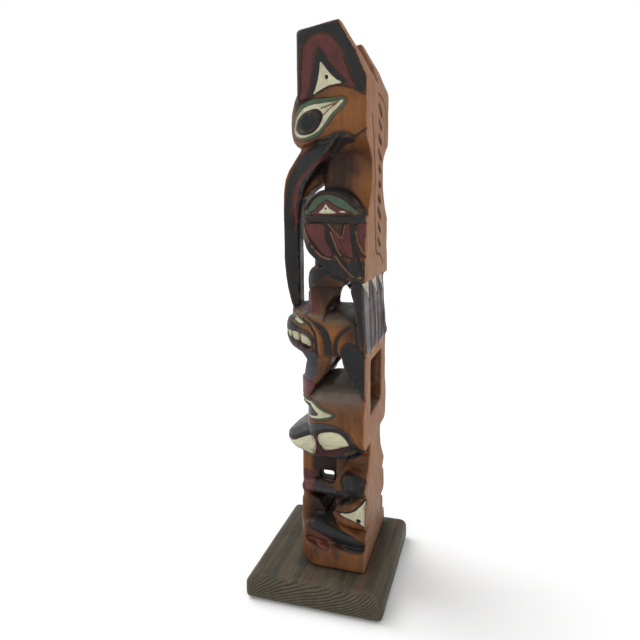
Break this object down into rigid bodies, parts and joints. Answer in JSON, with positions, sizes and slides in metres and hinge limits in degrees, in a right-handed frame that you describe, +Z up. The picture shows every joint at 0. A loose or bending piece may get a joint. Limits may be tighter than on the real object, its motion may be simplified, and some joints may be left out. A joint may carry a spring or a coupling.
{
  "type": "carved totem pole model",
  "caption": "Small painted cedar pole carved with a long-billed bird, a toothed beast and a beaver, standing on a dark rounded wooden board.",
  "frame": {"origin": "centre of the board's footprint, on the surface it stands on", "axes": "+Z up along the pole, -Y the way the carved figures face, +X to the pole's own left"},
  "size_m": [0.1102, 0.0994, 0.3856],
  "materials": {
    "painted_cedar": "carved cedar, stained orange-brown and painted black, maroon, green and cream; bare on the back",
    "stained_board": "dark grey-brown stain, satin, open grain",
    "black_felt": "thin black felt"
  },
  "bodies": {
    "root": {"carved_pole": "painted_cedar", "base_block": "stained_board", "pad_front_left": "black_felt", "pad_front_right": "black_felt", "pad_back_left": "black_felt", "pad_back_right": "black_felt"}
  },
  "joints": []
}
